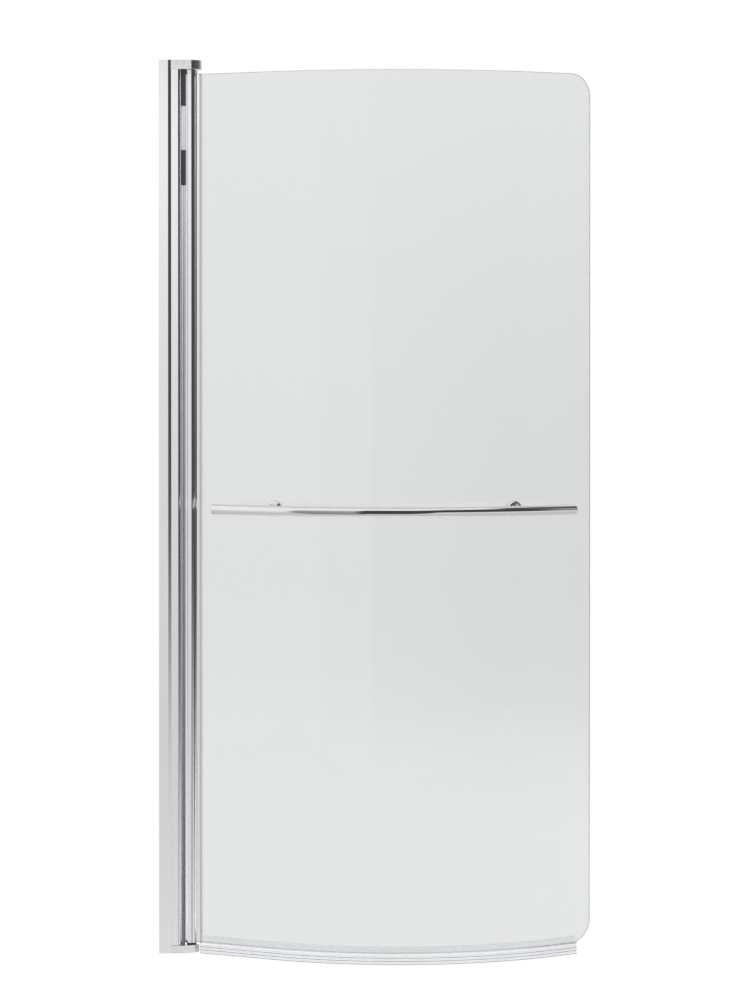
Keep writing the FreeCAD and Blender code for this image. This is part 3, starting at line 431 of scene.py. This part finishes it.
def clear_glass():
    mat, g, bsdf, out = material("clear_glass")
    vector = g.stretched((1, 1, 0.55))
    haze = g.noise(vector, 2.4, 2.0)
    g.put(g.ramp(haze, [(0.3, (0.744, 0.757, 0.751)), (0.7, (0.749, 0.761, 0.756))]), bsdf.inputs["Base Color"])
    bsdf.inputs["Roughness"].default_value = 0.0
    bsdf.inputs["IOR"].default_value = 1.5
    bsdf.inputs["Transmission Weight"].default_value = 1.0
    g.put(g.bump(g.noise(vector, 5.0, 1.0), 0.02, 0.0004), bsdf.inputs["Normal"])
    volume = g.node("ShaderNodeVolumeAbsorption")
    volume.inputs["Color"].default_value = (0.60, 0.86, 0.76, 1.0)
    volume.inputs["Density"].default_value = 3.0
    g.tree.links.new(volume.outputs[0], out.inputs["Volume"])
    return mat


def ground_edge():
    mat, g, bsdf, out = material("glass_ground_edge")
    vector = g.stretched((1, 1, 1))
    grind = g.noise(vector, 700.0, 3.0)
    g.put(g.ramp(grind, [(0.3, (0.80, 0.86, 0.84)), (0.7, (0.88, 0.93, 0.91))]), bsdf.inputs["Base Color"])
    g.put(g.span(grind, 0.3, 0.7, 0.22, 0.34), bsdf.inputs["Roughness"])
    bsdf.inputs["IOR"].default_value = 1.5
    bsdf.inputs["Transmission Weight"].default_value = 1.0
    volume = g.node("ShaderNodeVolumeAbsorption")
    volume.inputs["Color"].default_value = (0.60, 0.86, 0.76, 1.0)
    volume.inputs["Density"].default_value = 3.0
    g.tree.links.new(volume.outputs[0], out.inputs["Volume"])
    return mat


def soft_clear(name, light, dark, rough, transmission=0.92, scale=60.0):
    """Clear flexible plastic: a faint milky cloud, and draw lines too fine to see one by one."""
    mat, g, bsdf, out = material(name)
    vector = g.stretched((1, 1, 1))
    cloud = g.noise(vector, scale, 3.0)
    fine = g.noise(vector, 900.0, 2.0)
    g.put(g.ramp(cloud, [(0.3, dark), (0.7, light)]), bsdf.inputs["Base Color"])
    g.put(g.span(fine, 0.3, 0.7, rough[0], rough[1]), bsdf.inputs["Roughness"])
    g.put(g.bump(fine, 0.03, 0.0001), bsdf.inputs["Normal"])
    bsdf.inputs["IOR"].default_value = 1.46
    bsdf.inputs["Transmission Weight"].default_value = transmission
    return mat, g, bsdf


SEAL, g, bsdf = soft_clear("clear_seal", (0.975, 0.978, 0.99), (0.955, 0.958, 0.975), (0.12, 0.20), transmission=1.0)
# the faint white emission is a painted glow that makes the seal read lighter and milkier; the seal is no lamp
bsdf.inputs["Emission Color"].default_value = (0.97, 0.98, 1.0, 1.0)
bsdf.inputs["Emission Strength"].default_value = 0.008


def strip_seal():
    """The strip in the gap, with painted light from above: clear and near white at the head, greyer, darker and bluer
    further down its length.
    """
    mat, g, bsdf = soft_clear("clear_strip_seal", (0.9, 0.9, 0.9), (0.9, 0.9, 0.9), (0.16, 0.24))
    coords = g.node("ShaderNodeTexCoord").outputs["Object"]
    sep = g.node("ShaderNodeSeparateXYZ")
    g.put(coords, sep.inputs[0])
    # painted light and shade: the colour climbs from dark grey at the foot to near white at the head, the light falling
    # from above, not a change in the plastic
    tone = g.span(sep.outputs[2], 0.0, 1.4, 0.0, 1.0)
    cloud = g.mul(g.sub(g.noise(g.stretched((1, 1, 0.2)), 40.0, 2.0), 0.5), 0.03)
    g.put(
        g.ramp(
            g.add(tone, cloud),
            [
                (0.0, (0.30, 0.315, 0.335)),
                (0.5, (0.45, 0.47, 0.495)),
                (0.73, (0.60, 0.62, 0.65)),
                (0.83, (0.78, 0.80, 0.825)),
                (0.93, (0.93, 0.95, 0.97)),
                (1.0, (0.95, 0.96, 0.975)),
            ],
        ),
        bsdf.inputs["Base Color"],
    )
    return mat


STRIP = strip_seal()


def moulded(name, light, dark, rough, scale=700.0, bump=0.05, ior=1.45):
    mat, g, bsdf, out = material(name)
    vector = g.stretched((1, 1, 1))
    grain = g.noise(vector, scale, 3.0)
    cloud = g.noise(vector, scale / 18.0, 2.0)
    g.put(g.ramp(g.lerp(0.5, grain, cloud), [(0.3, dark), (0.7, light)]), bsdf.inputs["Base Color"])
    g.put(g.span(grain, 0.3, 0.7, rough[0], rough[1]), bsdf.inputs["Roughness"])
    g.put(g.bump(grain, bump, 0.0001), bsdf.inputs["Normal"])
    bsdf.inputs["IOR"].default_value = ior
    return mat, g, bsdf


GASKET = moulded("grey_gasket", (0.56, 0.56, 0.57), (0.50, 0.50, 0.51), (0.40, 0.55))[0]
ACETAL = moulded("black_acetal", (0.060, 0.062, 0.068), (0.045, 0.047, 0.052), (0.30, 0.42))[0]
NYLON, g, bsdf = moulded("clear_nylon", (0.86, 0.86, 0.84), (0.80, 0.80, 0.78), (0.30, 0.40))
bsdf.inputs["Transmission Weight"].default_value = 0.6
GLASS = clear_glass()
GLASS_EDGE = ground_edge()

FINISH = {
    "wall_channel": ALUMINIUM,
    "channel_grub_screws": STEEL,
    "pivot_profile": ALUMINIUM,
    "post_wiper_seal": STRIP,
    "post_guide_blocks": ACETAL,
    "top_cap": CAP_CHROME,
    "bottom_cap": CAP_CHROME,
    "cap_screws": STEEL,
    "top_pivot_pin": STEEL,
    "bottom_pivot_pin": STEEL,
    "thrust_washer": ACETAL,
    "hinge_post": ALUMINIUM,
    "top_post_plug": PLUG,
    "bottom_post_plug": PLUG,
    "top_bush": ACETAL,
    "bottom_bush": ACETAL,
    "glazing_gasket": GASKET,
    "glass_panel": GLASS,
    "bottom_seal": SEAL,
    "towel_rail": CHROME,
    "rail_end_cap_left": CHROME,
    "rail_end_cap_right": CHROME,
    "rail_post_left": CHROME,
    "rail_post_right": CHROME,
    "rosette_left": CHROME,
    "rosette_right": CHROME,
    "inner_cover_left": CHROME,
    "inner_cover_right": CHROME,
    "glass_hole_bushes": NYLON,
    "outer_washers": NYLON,
    "inner_washers": NYLON,
    "glass_fixing_screws": STEEL,
    "rail_studs": STEEL,
    "rail_thread_inserts": STEEL,
}
for name, mat in FINISH.items():
    obj = NODES[name]
    for slot in obj.material_slots:
        slot.material = mat
BODY = {n: b for b, members in frame["record"]["behaviour"]["bodies"].items() for n in members}


# ---------------------------------------------------------------- pieces with broken edges
def eased(name, width, angle=28.0, segments=2):
    """The same piece with its sharp edges broken by a fine radius, as a drawn or cast part has them."""
    source = NODES[name]
    bm = bmesh.new()
    bm.from_mesh(source.data)
    bmesh.ops.remove_doubles(bm, verts=bm.verts, dist=2e-6)
    bmesh.ops.dissolve_limit(bm, angle_limit=math.radians(0.4), verts=bm.verts, edges=bm.edges)
    sharp = [
        e
        for e in bm.edges
        if len(e.link_faces) == 2 and e.is_convex and e.calc_face_angle(0.0) > math.radians(angle)
    ]
    bmesh.ops.bevel(
        bm,
        geom=sharp,
        offset=width * MM,
        offset_type="OFFSET",
        segments=segments,
        profile=0.5,
        affect="EDGES",
        clamp_overlap=True,
        harden_normals=False,
    )
    bmesh.ops.remove_doubles(bm, verts=bm.verts, dist=1e-6)
    for f in bm.faces:
        f.smooth = True
        f.material_index = 0
    # shallow creases between wide faces, such as the foot of the bevelled lip, stay crisp
    for e in bm.edges:
        if len(e.link_faces) != 2:
            continue
        bend = e.calc_face_angle(0.0)
        wide = min(f.calc_area() for f in e.link_faces) > 0.6 * MM * e.calc_length()
        if bend > math.radians(50) or (wide and bend > math.radians(12)):
            e.smooth = False
    mesh = bpy.data.meshes.new(name + "_eased")
    bm.to_mesh(mesh)
    bm.free()
    obj = bpy.data.objects.new(name + "_eased", mesh)
    SCENE.collection.objects.link(obj)
    mesh.materials.append(FINISH[name])
    weigh = obj.modifiers.new("weighted", "WEIGHTED_NORMAL")
    weigh.mode = "FACE_AREA_WITH_ANGLE"
    weigh.weight = 60
    weigh.keep_sharp = True
    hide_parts(name)
    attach(obj, BODY[name])
    return obj


MADE = {}
for name, width in (
    ("wall_channel", 0.30),
    ("pivot_profile", 0.15),
    ("hinge_post", 0.20),
    ("top_cap", 0.25),
    ("bottom_cap", 0.25),
):
    MADE[name] = eased(name, width)


# ---------------------------------------------------------------- glass sheet with ground, arrised edges
def glass_sheet():
    arris = 0.55
    half = 3.0

    def columns(inset):
        end, radius = GLASS_END - inset, CORNER - inset
        s = [GLASS_START + (STRAIGHT - GLASS_START) * k / 12 for k in range(12)]
        curved = end - radius - STRAIGHT
        count = 96
        s += [STRAIGHT + curved * k / count for k in range(count)]
        s += [end - radius + radius * math.sin(math.radians(90) * k / 16) for k in range(17)]
        return s, end, radius

    def level(v, inset):
        s_list, end, radius = columns(inset)
        z0, z1 = GLASS_FOOT + inset, GLASS_HEAD - inset
        grid = []
        for s in s_list:
            over = max(0.0, s - (end - radius))
            cut = radius - math.sqrt(max(0.0, radius * radius - over * over))
            low, top = z0 + cut, z1 - cut
            grid.append([on_screen(s, v, low + (top - low) * k / rows) for k in range(rows + 1)])
        return grid

    rows = 48
    bm = bmesh.new()
    front = [[bm.verts.new(p) for p in col] for col in level(-half, arris)]
    back = [[bm.verts.new(p) for p in col] for col in level(half, arris)]
    count = len(front)

    def ring(grid):
        out = [grid[j][0] for j in range(count)]
        out += [grid[-1][k] for k in range(1, rows + 1)]
        out += [grid[j][rows] for j in range(count - 2, -1, -1)]
        out += [grid[0][k] for k in range(rows - 1, 0, -1)]
        return out

    near = [bm.verts.new(p) for p in ring(level(-half + arris, 0.0))]
    away = [bm.verts.new(p) for p in ring(level(half - arris, 0.0))]
    for j in range(count - 1):
        for k in range(rows):
            bm.faces.new((front[j][k], front[j + 1][k], front[j + 1][k + 1], front[j][k + 1]))
            bm.faces.new((back[j][k], back[j][k + 1], back[j + 1][k + 1], back[j + 1][k]))
    loops = [ring(front), near, away, ring(back)]
    size = len(near)
    for a, b in zip(loops, loops[1:]):
        for i in range(size):
            f = bm.faces.new((a[i], b[i], b[(i + 1) % size], a[(i + 1) % size]))
            f.material_index = 1
    bmesh.ops.recalc_face_normals(bm, faces=bm.faces)
    for f in bm.faces:
        f.smooth = True
    mesh = bpy.data.meshes.new("glass_sheet")
    bm.to_mesh(mesh)
    bm.free()
    obj = bpy.data.objects.new("glass_sheet", mesh)
    SCENE.collection.objects.link(obj)
    mesh.materials.append(GLASS)
    mesh.materials.append(GLASS_EDGE)
    # the two drilled holes for the rail
    cutters = bmesh.new()
    for phi in HOLES:
        out_dir = Vector((math.sin(phi), -math.cos(phi), 0))
        centre = Vector((ARC[0] * MM, ARC[1] * MM, RAIL_Z * MM)) + out_dir * RADIUS * MM
        turn = out_dir.to_track_quat("Z", "Y").to_matrix().to_4x4()
        bmesh.ops.create_cone(
            cutters,
            cap_ends=True,
            segments=64,
            radius1=6.0 * MM,
            radius2=6.0 * MM,
            depth=0.02,
            matrix=Matrix.Translation(centre) @ turn,
        )
    cutter_mesh = bpy.data.meshes.new("hole_cutters")
    cutters.to_mesh(cutter_mesh)
    cutters.free()
    cutter_mesh.materials.append(GLASS)
    cutter_mesh.materials.append(GLASS_EDGE)
    for f in cutter_mesh.polygons:
        f.material_index = 1
    cutter = bpy.data.objects.new("hole_cutters", cutter_mesh)
    SCENE.collection.objects.link(cutter)
    cut = obj.modifiers.new("holes", "BOOLEAN")
    cut.operation = "DIFFERENCE"
    cut.solver = "EXACT"
    cut.object = cutter
    bpy.context.view_layer.update()
    done = bpy.data.meshes.new_from_object(obj.evaluated_get(bpy.context.evaluated_depsgraph_get()))
    obj.modifiers.clear()
    obj.data = done
    done.name = "glass_sheet"
    bpy.data.objects.remove(cutter)
    for f in done.polygons:
        f.use_smooth = True
    done.set_sharp_from_angle(angle=math.radians(30))
    return obj


glass = glass_sheet()
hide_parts("glass_panel")
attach(glass, "screen")
MADE["glass_panel"] = glass

# what the softbox lights
for name in ("wall_channel", "pivot_profile", "hinge_post", "top_cap", "bottom_cap"):
    lit.objects.link(MADE[name])
for name in ("top_post_plug", "bottom_post_plug", "post_guide_blocks", "cap_screws", "top_pivot_pin", "channel_grub_screws"):
    lit.objects.link(NODES[name])
post_only.objects.link(MADE["hinge_post"])

# ---------------------------------------------------------------- camera
AXIS_ROW = 350.0
FOCAL = 2928.9
cam = bpy.data.cameras.new("camera")
cam.sensor_fit = "AUTO"
cam.sensor_width = 36.0
cam.lens = FOCAL * 36.0 / 1000.0
cam.shift_y = -(500.0 - AXIS_ROW) / 1000.0
cam.clip_start = 0.1
cam.clip_end = 200.0
cam_obj = bpy.data.objects.new("camera", cam)
SCENE.collection.objects.link(cam_obj)
cam_obj.location = (0.33916, -4.6, 0.9860)
cam_obj.rotation_euler = (math.radians(90.0 - 0.5), 0.0, 0.0)
SCENE.camera = cam_obj

SCENE.view_settings.view_transform = "Standard"
SCENE.view_settings.look = "None"
SCENE.view_settings.exposure = 0.0
SCENE.view_settings.gamma = 1.0
SCENE.cycles.use_denoising = True
